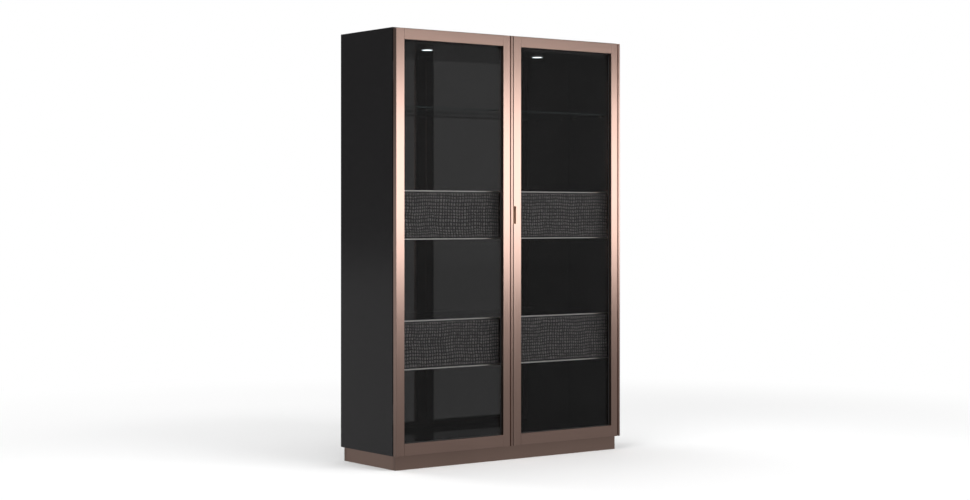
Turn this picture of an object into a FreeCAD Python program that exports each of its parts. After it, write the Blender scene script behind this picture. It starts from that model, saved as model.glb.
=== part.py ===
import FreeCAD, Part
import os
import Sketcher

# Two-door display cabinet: lacquered carcass, metal-framed glass doors, two drawer cases, a glass shelf
# and two spotlights. Millimetres. The origin is on the floor under the middle of the cabinet's box.
# The front faces -Y, +X is to the right and +Z is up.

DIMENSIONS = (
    ("overall_width", 1328.0),
    ("overall_depth", 464.0),
    ("overall_height", 2000.0),
    # carcass
    ("side_thick", 22.0),
    ("top_thick", 25.0),
    ("bottom_thick", 25.0),
    ("service_space", 70.0),
    ("lining_thick", 10.0),
    ("rear_panel_thick", 6.0),
    ("rear_panel_inset", 8.0),
    # plinth
    ("plinth_height", 65.0),
    ("plinth_thick", 18.0),
    ("plinth_front_set", 25.0),
    ("plinth_side_set", 13.0),
    ("plinth_back_set", 10.0),
    # light box under the top
    ("light_box_height", 44.0),
    ("ceiling_thick", 14.0),
    ("fascia_thick", 16.0),
    ("spot_spacing", 660.0),
    ("spot_set", 205.0),
    ("spot_radius", 28.0),
    ("spot_clear", 0.5),
    ("spot_flange_lip", 5.0),
    ("spot_flange_thick", 3.0),
    ("spot_can_height", 24.0),
    ("spot_wall", 2.0),
    ("lens_thick", 3.0),
    ("driver_length", 150.0),
    ("driver_width", 42.0),
    ("driver_height", 22.0),
    ("gland_radius", 14.0),
    ("gland_bore_radius", 5.0),
    ("gland_lip", 3.0),
    ("gland_drop", 160.0),
    # doors
    ("door_thick", 24.0),
    ("seam_gap", 6.0),
    ("door_top_gap", 4.5),
    ("door_bottom_gap", 1.5),
    ("meeting_gap", 4.0),
    ("plain_stile", 45.0),
    ("grooved_stile", 56.0),
    ("top_rail", 50.0),
    ("bottom_rail", 54.0),
    ("groove_width", 8.0),
    ("groove_depth", 6.0),
    ("groove_lip", 10.0),
    ("frame_chamfer", 1.0),
    ("rebate_width", 8.0),
    ("glass_thick", 4.0),
    ("glass_clear", 0.5),
    # finger pull let into the right door
    ("pull_width", 16.0),
    ("pull_depth", 14.0),
    ("pull_length", 86.0),
    ("pull_wall", 2.0),
    ("pull_height", 1110.0),
    # butt hinges in the seam between door and side
    ("axis_set", 2.5),
    ("knuckle_radius", 2.4),
    ("pin_radius", 1.2),
    ("pin_clear", 0.05),
    ("hinge_length", 81.0),
    ("knuckle_gap", 0.4),
    ("leaf_edge", 1.5),
    ("leaf_thick", 2.0),
    ("leaf_start", 3.0),
    ("hinge_end_set", 150.0),
    # magnetic catches
    ("catch_length", 34.0),
    ("catch_height", 12.0),
    ("catch_thick", 4.0),
    ("strike_thick", 1.5),
    ("catch_set", 20.0),
    # glass shelf and its pins
    ("shelf_drop", 280.0),
    ("shelf_thick", 7.0),
    ("shelf_set", 35.0),
    ("shelf_clear", 1.0),
    ("shelf_pin_radius", 2.5),
    ("shelf_pin_clear", 0.05),
    ("shelf_pin_in", 9.0),
    ("shelf_pin_out", 12.0),
    ("shelf_pin_set", 50.0),
    # drawer cases and drawers
    ("upper_case_height", 1040.0),
    ("lower_case_height", 445.5),
    ("case_tall", 226.0),
    ("case_board", 18.0),
    ("case_set", 35.0),
    ("case_trim", 5.0),
    ("divider_width", 60.0),
    ("divider_set", 12.0),
    ("front_thick", 18.0),
    ("front_gap", 1.0),
    ("front_edge_gap", 1.5),
    ("front_side_gap", 2.0),
    ("front_middle_gap", 4.0),
    ("drawer_back_gap", 12.0),
    ("drawer_head", 28.0),
    ("drawer_lift", 12.0),
    ("drawer_wall", 12.0),
    ("drawer_floor", 8.0),
    ("runner_space", 13.0),
    ("runner_width", 10.0),
    ("runner_wall", 1.5),
    ("runner_tall", 29.6),
    ("runner_clear", 0.3),
    ("runner_set", 4.0),
    ("runner_end", 6.0),
)

doc = FreeCAD.newDocument("china_cabinet")
sheet = doc.addObject("Spreadsheet::Sheet", "dims")
for row, (alias, value) in enumerate(DIMENSIONS, start=1):
    sheet.set(f"A{row}", alias)
    sheet.set(f"B{row}", str(value))
    sheet.setAlias(f"B{row}", alias)
doc.recompute()

# Places worked out from the driving dimensions, as expressions.
DOOR_FRONT = "(-dims.overall_depth / 2)"
DOOR_BACK = "(-dims.overall_depth / 2 + dims.door_thick)"
CARCASS_FRONT = "(-dims.overall_depth / 2 + dims.door_thick + dims.seam_gap)"
CARCASS_BACK = "(dims.overall_depth / 2)"
CARCASS_DEPTH = "(dims.overall_depth - dims.door_thick - dims.seam_gap)"
OUTER_LEFT = "(-dims.overall_width / 2)"
INNER_LEFT = "(-dims.overall_width / 2 + dims.side_thick)"
INNER_RIGHT = "(dims.overall_width / 2 - dims.side_thick)"
INNER_WIDTH = "(dims.overall_width - 2 * dims.side_thick)"
FLOOR_TOP = "(dims.plinth_height + dims.bottom_thick)"
TOP_UNDER = "(dims.overall_height - dims.top_thick)"
REAR_FACE = f"({CARCASS_BACK} - dims.rear_panel_inset)"
LINING_FRONT = (f"({REAR_FACE} - dims.rear_panel_thick - dims.service_space"
                " - dims.lining_thick)")
INTERIOR_DEPTH = f"({LINING_FRONT} - {CARCASS_FRONT})"
CEILING_UNDER = f"({TOP_UNDER} - dims.light_box_height)"
SHELF_UNDER = f"({CEILING_UNDER} - dims.shelf_drop - dims.shelf_thick)"
GLAND_HEIGHT = "(dims.overall_height - dims.gland_drop)"
DOOR_BOTTOM = "(dims.plinth_height + dims.door_bottom_gap)"
DOOR_TALL = f"(dims.overall_height - dims.door_top_gap - {DOOR_BOTTOM})"
DOOR_WIDE = "((dims.overall_width - dims.meeting_gap) / 2)"
OPENING_WIDE = f"({DOOR_WIDE} - dims.plain_stile - dims.grooved_stile)"
OPENING_TALL = f"({DOOR_TALL} - dims.top_rail - dims.bottom_rail)"
DRAWER_FACE = f"({CARCASS_FRONT} + dims.case_set)"
CASE_EDGE = f"({DRAWER_FACE} + dims.front_thick + dims.front_gap)"
BOX_FRONT = f"({DRAWER_FACE} + dims.front_thick)"
BOX_DEEP = f"({LINING_FRONT} - {BOX_FRONT} - dims.drawer_back_gap)"
BOX_TALL = "(dims.case_tall - 2 * dims.case_board - dims.drawer_lift - dims.drawer_head)"
RUNNER_LONG = f"({BOX_DEEP} - dims.runner_set - dims.runner_end)"
BOX_WIDE = f"({INNER_WIDTH} / 2 - dims.divider_width / 2 - 2 * dims.runner_space)"
FACE_WIDE = (f"({INNER_WIDTH} / 2 - dims.divider_width / 2"
             " - dims.front_side_gap - dims.front_middle_gap)")
HINGE_Y = f"({DOOR_BACK} + dims.seam_gap / 2)"
LEAF_WIDE = "(dims.side_thick - dims.axis_set - dims.leaf_start - dims.leaf_edge)"
BORE_RADIUS = "(dims.pin_radius + dims.pin_clear)"

nodes = {}


def number(expression):
    """The value that an expression has with the sheet's present numbers."""
    result = sheet.evalExpression(expression)
    return float(getattr(result, "Value", result))


def keep(piece, label):
    """Name a finished sub-part, which is written to a file of that name."""
    piece.Label = label
    nodes[label] = piece
    return piece


def place(piece, x, y, z):
    """Tie a piece's position to expressions."""
    for axis, expression in zip("xyz", (x, y, z)):
        piece.setExpression(f"Placement.Base.{axis}", str(expression))
    return piece


def plane(body, role):
    """One of a body's own origin planes."""
    return next(feature for feature in body.Origin.OriginFeatures if feature.Role == role)


def empty_sketch(body, name, role, offset="0"):
    """A sketch on an origin plane of the body, moved along that plane's normal."""
    sketch = body.newObject("Sketcher::SketchObject", name)
    sketch.AttachmentSupport = (plane(body, role), [""])
    sketch.MapMode = "FlatFace"
    if offset != "0":
        sketch.setExpression("AttachmentOffset.Base.z", offset)
    return sketch


def hold_point(sketch, line, end, x, y, tag):
    """Tie one point of a sketch to the origin by two expressions, where 0 means on the axis."""
    for axis, expression, other in (("X", x, -2), ("Y", y, -1)):
        if str(expression) == "0":
            sketch.addConstraint(Sketcher.Constraint("PointOnObject", line, end, other))
            continue
        size = number(expression)
        index = sketch.addConstraint(
            Sketcher.Constraint(f"Distance{axis}", -1, 1, line, end, size))
        sketch.renameConstraint(index, f"{axis.lower()}_{tag}")
        sketch.setExpression(f"Constraints.{axis.lower()}_{tag}", expression)


def outline(body, name, points, role="XY_Plane", offset="0"):
    """A closed outline of straight lines through the points, each point an (x, y) pair."""
    sketch = empty_sketch(body, name, role, offset)
    corners = [FreeCAD.Vector(number(str(x)), number(str(y)), 0) for x, y in points]
    count = len(corners)
    for index in range(count):
        sketch.addGeometry(Part.LineSegment(corners[index], corners[(index + 1) % count]), False)
    for index in range(count):
        sketch.addConstraint(Sketcher.Constraint("Coincident", index, 2, (index + 1) % count, 1))
    for index, (x, y) in enumerate(points):
        hold_point(sketch, index, 1, x, y, f"p{index}")
    return sketch


def rings(body, name, centres, radius, role="XY_Plane", offset="0"):
    """Circles of one radius at the centres, for round pockets."""
    sketch = empty_sketch(body, name, role, offset)
    for index, (x, y) in enumerate(centres):
        middle = FreeCAD.Vector(number(str(x)), number(str(y)), 0)
        circle = Part.Circle(middle, FreeCAD.Vector(0, 0, 1), number(radius))
        sketch.addGeometry(circle, False)
        hold_point(sketch, index, 3, x, y, f"c{index}")
        row = sketch.addConstraint(Sketcher.Constraint("Radius", index, number(radius)))
        sketch.renameConstraint(row, f"r_c{index}")
        sketch.setExpression(f"Constraints.r_c{index}", radius)
    return sketch


def pad(body, sketch, length):
    """Extrude a sketch along its plane's normal."""
    feature = body.newObject("PartDesign::Pad", "Pad")
    feature.Profile = sketch
    feature.setExpression("Length", length)
    sketch.Visibility = False
    return feature


def pocket(body, sketch, length, against_normal=False):
    """Cut a sketch into the body, along its plane's normal unless told otherwise."""
    doc.recompute()
    before = body.Shape.Volume
    feature = body.newObject("PartDesign::Pocket", "Pocket")
    feature.Profile = sketch
    feature.setExpression("Length", length)
    feature.Reversed = not against_normal
    doc.recompute()
    if not body.Shape.Volume < before - 1.0:
        raise RuntimeError(f"the pocket in {body.Label} cuts nothing")
    return feature


def rectangle(wide, deep, left="0", near="0"):
    """The four corners of a rectangle, from its near left corner."""
    right = wide if left == "0" else f"{left} + {wide}"
    far = deep if near == "0" else f"{near} + {deep}"
    return [(left, near), (right, near), (right, far), (left, far)]


def board(label, wide, deep, tall, x, y, z):
    """A flat board or block, padded up from its lower left front corner."""
    body = doc.addObject("PartDesign::Body", label)
    pad(body, outline(body, "Outline", rectangle(wide, deep)), tall)
    place(body, x, y, z)
    return keep(body, label)


def box(name, wide, deep, tall, x, y, z):
    """A plain box that goes into a compound or a cut."""
    piece = doc.addObject("Part::Box", name)
    piece.setExpression("Length", wide)
    piece.setExpression("Width", deep)
    piece.setExpression("Height", tall)
    return place(piece, x, y, z)


def rod(name, radius, length, x, y, z, direction=(0, 0, 1)):
    """A plain cylinder that starts at a point and runs along a direction."""
    piece = doc.addObject("Part::Cylinder", name)
    turn = FreeCAD.Rotation(FreeCAD.Vector(0, 0, 1), FreeCAD.Vector(*direction))
    piece.Placement = FreeCAD.Placement(FreeCAD.Vector(), turn)
    piece.setExpression("Radius", radius)
    piece.setExpression("Height", length)
    return place(piece, x, y, z)


def cut(name, base, tool):
    """One shape less another."""
    piece = doc.addObject("Part::Cut", name)
    piece.Base = base
    piece.Tool = tool
    return piece


def fuse(name, *pieces):
    """Several touching shapes as one solid."""
    piece = doc.addObject("Part::MultiFuse", name)
    piece.Shapes = list(pieces)
    return piece


def group(label, pieces):
    """Separate like solids that share one node."""
    piece = doc.addObject("Part::Compound", label)
    piece.Links = list(pieces)
    return keep(piece, label)


def build_carcass():
    """Sides, top, bottom, gloss lining and rear panel."""
    side_tall = "(dims.overall_height - dims.plinth_height)"
    pin_z = f"({SHELF_UNDER} - dims.shelf_pin_radius - dims.plinth_height)"
    pin_rows = ("(dims.shelf_set + dims.shelf_pin_set)",
                f"({INTERIOR_DEPTH} - dims.shelf_pin_set)")
    for name, x, pins_from in (("left_side_panel", OUTER_LEFT, "(dims.side_thick - dims.shelf_pin_in)"),
                               ("right_side_panel", INNER_RIGHT, "0")):
        side = board(name, "dims.side_thick", CARCASS_DEPTH, side_tall, x, CARCASS_FRONT,
                     "dims.plinth_height")
        holes = rings(side, "PinHoles", [(row, pin_z) for row in pin_rows],
                      "(dims.shelf_pin_radius + dims.shelf_pin_clear)", "YZ_Plane", pins_from)
        pocket(side, holes, "dims.shelf_pin_in")
    board("top_panel", INNER_WIDTH, CARCASS_DEPTH, "dims.top_thick",
          INNER_LEFT, CARCASS_FRONT, TOP_UNDER)
    board("bottom_panel", INNER_WIDTH, CARCASS_DEPTH, "dims.bottom_thick",
          INNER_LEFT, CARCASS_FRONT, "dims.plinth_height")
    inner_tall = f"({TOP_UNDER} - {FLOOR_TOP})"
    board("back_lining", INNER_WIDTH, "dims.lining_thick", inner_tall,
          INNER_LEFT, LINING_FRONT, FLOOR_TOP)
    rear_y = f"({REAR_FACE} - dims.rear_panel_thick)"
    rear = board("rear_panel", INNER_WIDTH, "dims.rear_panel_thick", inner_tall,
                 INNER_LEFT, rear_y, FLOOR_TOP)
    gland_z = f"({GLAND_HEIGHT} - {FLOOR_TOP})"
    lead_hole = rings(rear, "LeadHole", [(f"({INNER_WIDTH} / 2)", gland_z)],
                      "(dims.gland_radius - dims.gland_lip)", "XZ_Plane")
    pocket(rear, lead_hole, "dims.rear_panel_thick", against_normal=True)
    lip = rod("GlandLip", "dims.gland_radius", "dims.gland_lip", "0", REAR_FACE,
              GLAND_HEIGHT, (0, 1, 0))
    neck_length = "(dims.rear_panel_thick + dims.gland_lip)"
    neck = rod("GlandNeck", "(dims.gland_radius - dims.gland_lip)", neck_length, "0", rear_y,
               GLAND_HEIGHT, (0, 1, 0))
    bore = rod("GlandBore", "dims.gland_bore_radius", neck_length, "0", rear_y,
               GLAND_HEIGHT, (0, 1, 0))
    keep(cut("cable_gland", fuse("GlandBody", lip, neck), bore), "cable_gland")


def build_plinth():
    """A four-board plinth, set in at the sides and back."""
    front_y = f"({DOOR_FRONT} + dims.plinth_front_set)"
    back_y = f"({CARCASS_BACK} - dims.plinth_back_set - dims.plinth_thick)"
    left_x = f"({OUTER_LEFT} + dims.plinth_side_set)"
    right_x = "(dims.overall_width / 2 - dims.plinth_side_set - dims.plinth_thick)"
    wide = "(dims.overall_width - 2 * dims.plinth_side_set)"
    for label, y in (("plinth_front", front_y), ("plinth_back", back_y)):
        board(label, wide, "dims.plinth_thick", "dims.plinth_height", left_x, y, "0")
    deep = f"({back_y} - {front_y} - dims.plinth_thick)"
    for label, x in (("plinth_left", left_x), ("plinth_right", right_x)):
        board(label, "dims.plinth_thick", deep, "dims.plinth_height", x,
              f"({front_y} + dims.plinth_thick)", "0")


def build_light_box():
    """False ceiling with two recessed spotlights, its fascia and the lamp driver above it."""
    board("light_box_fascia", INNER_WIDTH, "dims.fascia_thick", "dims.light_box_height",
          INNER_LEFT, CARCASS_FRONT, CEILING_UNDER)
    deep = f"({INTERIOR_DEPTH} - dims.fascia_thick)"
    ceiling = board("false_ceiling", INNER_WIDTH, deep, "dims.ceiling_thick", INNER_LEFT,
                    f"({CARCASS_FRONT} + dims.fascia_thick)", CEILING_UNDER)
    row = "(dims.spot_set - dims.fascia_thick)"
    middles = [f"({INNER_WIDTH} / 2 - dims.spot_spacing / 2)",
               f"({INNER_WIDTH} / 2 + dims.spot_spacing / 2)"]
    holes = rings(ceiling, "SpotHoles", [(x, row) for x in middles],
                  "(dims.spot_radius + dims.spot_clear)")
    pocket(ceiling, holes, "dims.ceiling_thick")
    spot_y = f"({CARCASS_FRONT} + dims.spot_set)"
    flange_z = f"({CEILING_UNDER} - dims.spot_flange_thick)"
    housings = []
    lenses = []
    for name, x in (("Left", "(-dims.spot_spacing / 2)"), ("Right", "(dims.spot_spacing / 2)")):
        flange = rod(f"Flange{name}", "(dims.spot_radius + dims.spot_flange_lip)",
                     "dims.spot_flange_thick", x, spot_y, flange_z)
        can = rod(f"Can{name}", "dims.spot_radius", "(dims.spot_flange_thick + dims.spot_can_height)",
                  x, spot_y, flange_z)
        bore = rod(f"CanBore{name}", "(dims.spot_radius - dims.spot_wall)",
                   "(dims.spot_flange_thick + dims.spot_can_height - dims.spot_wall)",
                   x, spot_y, flange_z)
        housings.append(cut(f"Housing{name}", fuse(f"Shell{name}", flange, can), bore))
        lenses.append(rod(f"Lens{name}", "(dims.spot_radius - dims.spot_wall)", "dims.lens_thick",
                          x, spot_y, flange_z))
    group("spotlight_housings", housings)
    group("spotlight_lenses", lenses)
    board("lamp_driver", "dims.driver_length", "dims.driver_width", "dims.driver_height",
          "(-dims.driver_length / 2)", f"({spot_y} - dims.driver_width / 2)",
          f"({CEILING_UNDER} + dims.ceiling_thick)")


def frame_stile(label, x, z, grooved):
    """An upright of a door frame: rebated for the glass, and grooved near its right edge or plain."""
    edge = "dims.frame_chamfer"
    thick = "dims.door_thick"
    seat = "(dims.door_thick - dims.glass_thick)"
    wide = "dims.grooved_stile" if grooved else "dims.plain_stile"
    near_edge = f"({wide} - {edge})"
    back_edge = f"({thick} - {edge})"
    if grooved:
        groove_right = f"({wide} - dims.groove_lip)"
        groove_left = f"({wide} - dims.groove_lip - dims.groove_width)"
        points = [(edge, "0"), (groove_left, "0"), (groove_left, "dims.groove_depth"),
                  (groove_right, "dims.groove_depth"), (groove_right, "0"), (near_edge, "0"),
                  (wide, edge), (wide, back_edge), (near_edge, thick), ("dims.rebate_width", thick),
                  ("dims.rebate_width", seat), ("0", seat), ("0", edge)]
    else:
        inner = f"({wide} - dims.rebate_width)"
        points = [(edge, "0"), (near_edge, "0"), (wide, edge), (wide, seat), (inner, seat),
                  (inner, thick), (edge, thick), ("0", back_edge), ("0", edge)]
    body = doc.addObject("PartDesign::Body", label)
    pad(body, outline(body, "Section", points), DOOR_TALL)
    place(body, x, DOOR_FRONT, z)
    return keep(body, label)


def frame_rail(label, tall, x, z, glass_above):
    """A crosspiece of a door frame, rebated for the glass on its inner edge."""
    edge = "dims.frame_chamfer"
    thick = "dims.door_thick"
    seat = "(dims.door_thick - dims.glass_thick)"
    high = f"({tall} - {edge})"
    back = f"({thick} - {edge})"
    if glass_above:
        step = f"({tall} - dims.rebate_width)"
        points = [(edge, "0"), (back, "0"), (thick, edge), (thick, step), (seat, step),
                  (seat, tall), (edge, tall), ("0", high), ("0", edge)]
    else:
        points = [(edge, "0"), (seat, "0"), (seat, "dims.rebate_width"),
                  (thick, "dims.rebate_width"), (thick, high), (back, tall), (edge, tall),
                  ("0", high), ("0", edge)]
    body = doc.addObject("PartDesign::Body", label)
    pad(body, outline(body, "Section", points, "YZ_Plane"), OPENING_WIDE)
    place(body, x, DOOR_FRONT, z)
    return keep(body, label)


def build_door(hand, left_x):
    """One door: two uprights, two crosspieces and a pane set in their rebates."""
    frame_stile(f"{hand}_door_left_stile", left_x, DOOR_BOTTOM, grooved=False)
    opening_x = f"({left_x} + dims.plain_stile)"
    opening_z = f"({DOOR_BOTTOM} + dims.bottom_rail)"
    frame_stile(f"{hand}_door_right_stile", f"({opening_x} + {OPENING_WIDE})", DOOR_BOTTOM,
                grooved=True)
    frame_rail(f"{hand}_door_bottom_rail", "dims.bottom_rail", opening_x, DOOR_BOTTOM, True)
    frame_rail(f"{hand}_door_top_rail", "dims.top_rail", opening_x,
               f"({opening_z} + {OPENING_TALL})", False)
    lap = "(dims.rebate_width - dims.glass_clear)"
    board(f"{hand}_door_glass", f"({OPENING_WIDE} + 2 * {lap})", "dims.glass_thick",
          f"({OPENING_TALL} + 2 * {lap})", f"({opening_x} - {lap})",
          f"({DOOR_BACK} - dims.glass_thick)", f"({opening_z} - {lap})")


def build_finger_pull():
    """A metal tray let into the meeting edge of the right door, open to the front and the edge."""
    stile = nodes["right_door_left_stile"]
    seat_z = f"(dims.pull_height - {DOOR_BOTTOM})"
    seat = outline(stile, "PullSeat", rectangle("dims.pull_width", "dims.pull_depth"),
                   offset=seat_z)
    pocket(stile, seat, "dims.pull_length")
    tray = board("finger_pull", "dims.pull_width", "dims.pull_depth", "dims.pull_length",
                 "(dims.meeting_gap / 2)", DOOR_FRONT, "dims.pull_height")
    hollow = outline(tray, "Hollow",
                     rectangle("(dims.pull_width - dims.pull_wall)",
                               "(dims.pull_depth - dims.pull_wall)"),
                     offset="dims.pull_wall")
    pocket(tray, hollow, "(dims.pull_length - 2 * dims.pull_wall)")


def hinge_leaf(name, hand, plate_y, low, barrels):
    """A leaf with the knuckles that belong to it, each barrel given as (start, length)."""
    sign = "" if hand == "right" else "-"
    axis_x = f"({sign}(dims.overall_width / 2 - dims.axis_set))"
    plate_x = f"({axis_x} + dims.leaf_start)"
    web_x = axis_x
    if hand == "right":
        plate_x = f"({axis_x} - dims.leaf_start - {LEAF_WIDE})"
        web_x = f"({axis_x} - dims.leaf_start)"
    parts = [box(f"{name}Plate", LEAF_WIDE, "dims.leaf_thick", "dims.hinge_length",
                 plate_x, plate_y, low)]
    for index, (start, length) in enumerate(barrels):
        from_z = f"({low} + {start})"
        parts.append(box(f"{name}Web{index}", "dims.leaf_start", "dims.leaf_thick", length,
                         web_x, plate_y, from_z))
        parts.append(rod(f"{name}Barrel{index}", "dims.knuckle_radius", length,
                         axis_x, HINGE_Y, from_z))
    bore = rod(f"{name}Bore", BORE_RADIUS, "dims.hinge_length", axis_x, HINGE_Y, low)
    return cut(name, fuse(f"{name}Leaf", *parts), bore)


def build_hinges():
    """Three butt hinges on each door, their barrels in the seam between door and side."""
    third = "(dims.hinge_length / 3)"
    middle = (f"({third} + dims.knuckle_gap)", f"({third} - 2 * dims.knuckle_gap)")
    ends = (("0", third), (f"(2 * {third})", third))
    levels = (f"({DOOR_BOTTOM} + dims.hinge_end_set)",
              f"({DOOR_BOTTOM} + ({DOOR_TALL} - dims.hinge_length) / 2)",
              f"({DOOR_BOTTOM} + {DOOR_TALL} - dims.hinge_end_set - dims.hinge_length)")
    carcass_y = f"({CARCASS_FRONT} - dims.leaf_thick)"
    fixed = []
    pins = []
    for hand in ("left", "right"):
        sign = "" if hand == "right" else "-"
        axis_x = f"({sign}(dims.overall_width / 2 - dims.axis_set))"
        moving = []
        for index, low in enumerate(levels):
            tag = f"{hand.title()}{index}"
            moving.append(hinge_leaf(f"DoorLeaf{tag}", hand, DOOR_BACK, low, (middle,)))
            fixed.append(hinge_leaf(f"SideLeaf{tag}", hand, carcass_y, low, ends))
            pins.append(rod(f"Pin{tag}", "dims.pin_radius", "dims.hinge_length",
                            axis_x, HINGE_Y, low))
        group(f"{hand}_door_hinge_leaves", moving)
    group("side_hinge_leaves", fixed)
    group("hinge_pins", pins)


def build_catches():
    """A magnetic catch for each door on the light box, and its strike on the door."""
    level = f"({CEILING_UNDER} + dims.light_box_height / 2)"
    magnet_y = f"({CARCASS_FRONT} - dims.catch_thick)"
    near = "(dims.meeting_gap / 2 + dims.catch_set)"
    left_x = f"(-{near} - dims.catch_length)"
    magnets = []
    for hand, x in (("left", left_x), ("right", near)):
        magnets.append(box(f"Magnet{hand.title()}", "dims.catch_length", "dims.catch_thick",
                           "dims.catch_height", x, magnet_y, level))
        board(f"{hand}_door_strike", "dims.catch_length", "dims.strike_thick", "dims.catch_height",
              x, DOOR_BACK, level)
    group("magnetic_catches", magnets)


def build_shelf():
    """The glass shelf on four pins, two in each side panel."""
    deep = f"({INTERIOR_DEPTH} - dims.shelf_set - dims.shelf_clear)"
    board("glass_shelf", f"({INNER_WIDTH} - 2 * dims.shelf_clear)", deep, "dims.shelf_thick",
          f"({INNER_LEFT} + dims.shelf_clear)", f"({CARCASS_FRONT} + dims.shelf_set)",
          SHELF_UNDER)
    pin_z = f"({SHELF_UNDER} - dims.shelf_pin_radius)"
    length = "(dims.shelf_pin_in + dims.shelf_pin_out)"
    rows = (f"({CARCASS_FRONT} + dims.shelf_set + dims.shelf_pin_set)",
            f"({LINING_FRONT} - dims.shelf_pin_set)")
    pins = []
    for index, y in enumerate(rows):
        pins.append(rod(f"PinLeft{index}", "dims.shelf_pin_radius", length,
                        f"({INNER_LEFT} - dims.shelf_pin_in)", y, pin_z, (1, 0, 0)))
        pins.append(rod(f"PinRight{index}", "dims.shelf_pin_radius", length,
                        f"({INNER_RIGHT} + dims.shelf_pin_in)", y, pin_z, (-1, 0, 0)))
    group("shelf_pins", pins)


def build_case(level, low):
    """Two boards, a divider and the metal trims that frame a pair of drawer fronts."""
    deep = f"({LINING_FRONT} - {CASE_EDGE})"
    high = f"({low} + dims.case_tall)"
    board(f"{level}_case_bottom", INNER_WIDTH, deep, "dims.case_board", INNER_LEFT, CASE_EDGE, low)
    board(f"{level}_case_top", INNER_WIDTH, deep, "dims.case_board", INNER_LEFT, CASE_EDGE,
          f"({high} - dims.case_board)")
    trim_deep = "(dims.front_thick + dims.front_gap)"
    board(f"{level}_case_bottom_trim", INNER_WIDTH, trim_deep, "dims.case_trim", INNER_LEFT,
          DRAWER_FACE, low)
    board(f"{level}_case_top_trim", INNER_WIDTH, trim_deep, "dims.case_trim", INNER_LEFT,
          DRAWER_FACE, f"({high} - dims.case_trim)")
    divider_y = f"({DRAWER_FACE} + dims.divider_set)"
    board(f"{level}_case_divider", "dims.divider_width", f"({LINING_FRONT} - {divider_y})",
          "(dims.case_tall - 2 * dims.case_board)", "(-dims.divider_width / 2)", divider_y,
          f"({low} + dims.case_board)")


def build_drawer(hand, level, low):
    """A drawer: embossed front, open box and the slides that ride in the case's runners."""
    middle = "dims.divider_width / 2"
    box_x = f"({INNER_LEFT} + dims.runner_space)"
    face_x = f"({INNER_LEFT} + dims.front_side_gap)"
    if hand == "right":
        box_x = f"({middle} + dims.runner_space)"
        face_x = f"({middle} + dims.front_middle_gap)"
    face_low = f"({low} + dims.case_trim + dims.front_edge_gap)"
    board(f"{hand}_{level}_drawer_front", FACE_WIDE, "dims.front_thick",
          "(dims.case_tall - 2 * dims.case_trim - 2 * dims.front_edge_gap)",
          face_x, DRAWER_FACE, face_low)
    box_low = f"({low} + dims.case_board + dims.drawer_lift)"
    tray = board(f"{hand}_{level}_drawer_box", BOX_WIDE, BOX_DEEP, BOX_TALL,
                 box_x, BOX_FRONT, box_low)
    hollow = outline(tray, "Hollow",
                     rectangle(f"({BOX_WIDE} - 2 * dims.drawer_wall)",
                               f"({BOX_DEEP} - 2 * dims.drawer_wall)",
                               "dims.drawer_wall", "dims.drawer_wall"),
                     offset="dims.drawer_floor")
    pocket(tray, hollow, f"({BOX_TALL} - dims.drawer_floor)")
    slide_wide = "(dims.runner_space - dims.runner_wall - dims.runner_clear)"
    inside = "(dims.runner_tall - 2 * dims.runner_wall)"
    slide_z = (f"({box_low} + ({BOX_TALL} - dims.runner_tall) / 2"
               " + dims.runner_wall + dims.runner_clear)")
    slides = []
    for name, x in (("Left", f"({box_x} - {slide_wide})"), ("Right", f"({box_x} + {BOX_WIDE})")):
        slides.append(box(f"Slide{hand.title()}{level.title()}{name}", slide_wide,
                          RUNNER_LONG, f"({inside} - 2 * dims.runner_clear)", x,
                          f"({BOX_FRONT} + dims.runner_set)", slide_z))
    group(f"{hand}_{level}_drawer_slides", slides)


def build_runners(level, low):
    """Four channels in a case, one on each side of both drawers, open towards the drawer."""
    rail_low = (f"({low} + dims.case_board + dims.drawer_lift"
                f" + ({BOX_TALL} - dims.runner_tall) / 2)")
    rail_y = f"({BOX_FRONT} + dims.runner_set)"
    walls = ((INNER_LEFT, "+"), ("(-dims.divider_width / 2)", "-"),
             ("(dims.divider_width / 2)", "+"), (INNER_RIGHT, "-"))
    rails = []
    for index, (wall, way) in enumerate(walls):
        tag = f"{level.title()}{index}"
        outer_x = wall if way == "+" else f"({wall} - dims.runner_width)"
        inner_x = f"({wall} + dims.runner_wall)" if way == "+" else outer_x
        shell = box(f"Rail{tag}", "dims.runner_width", RUNNER_LONG, "dims.runner_tall",
                    outer_x, rail_y, rail_low)
        hollow = box(f"RailHollow{tag}", "(dims.runner_width - dims.runner_wall)",
                     RUNNER_LONG, "(dims.runner_tall - 2 * dims.runner_wall)",
                     inner_x, rail_y, f"({rail_low} + dims.runner_wall)")
        rails.append(cut(f"Channel{tag}", shell, hollow))
    group(f"{level}_case_runners", rails)


build_carcass()
build_plinth()
build_light_box()
build_door("left", OUTER_LEFT)
build_door("right", "(dims.meeting_gap / 2)")
build_finger_pull()
build_hinges()
build_catches()
build_shelf()
for case_level in ("upper", "lower"):
    case_low = f"dims.{case_level}_case_height"
    build_case(case_level, case_low)
    build_runners(case_level, case_low)
    for drawer_hand in ("left", "right"):
        build_drawer(drawer_hand, case_level, case_low)
doc.recompute()

for item in doc.Objects:
    if "Invalid" in item.State or "Error" in item.State:
        raise RuntimeError(f"{item.Label} failed: {item.State}")
for label, piece in nodes.items():
    if piece.Shape.isNull() or not piece.Shape.isValid():
        raise RuntimeError(f"{label} has no valid shape")

os.makedirs("parts", exist_ok=True)
for label, piece in nodes.items():
    piece.Shape.exportStep(os.path.join("parts", f"{label}.step"))
print(f"{len(nodes)} sub-parts written")
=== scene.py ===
"""Looks of a tall display cabinet with two glass doors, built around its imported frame.

Lengths are in metres and follow the frame's own axes: +X to the right, +Y to the back, +Z up, with the
origin on the floor under the middle of the cabinet. Colours are linear, from 0 to 1.
"""

from __future__ import annotations

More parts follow.
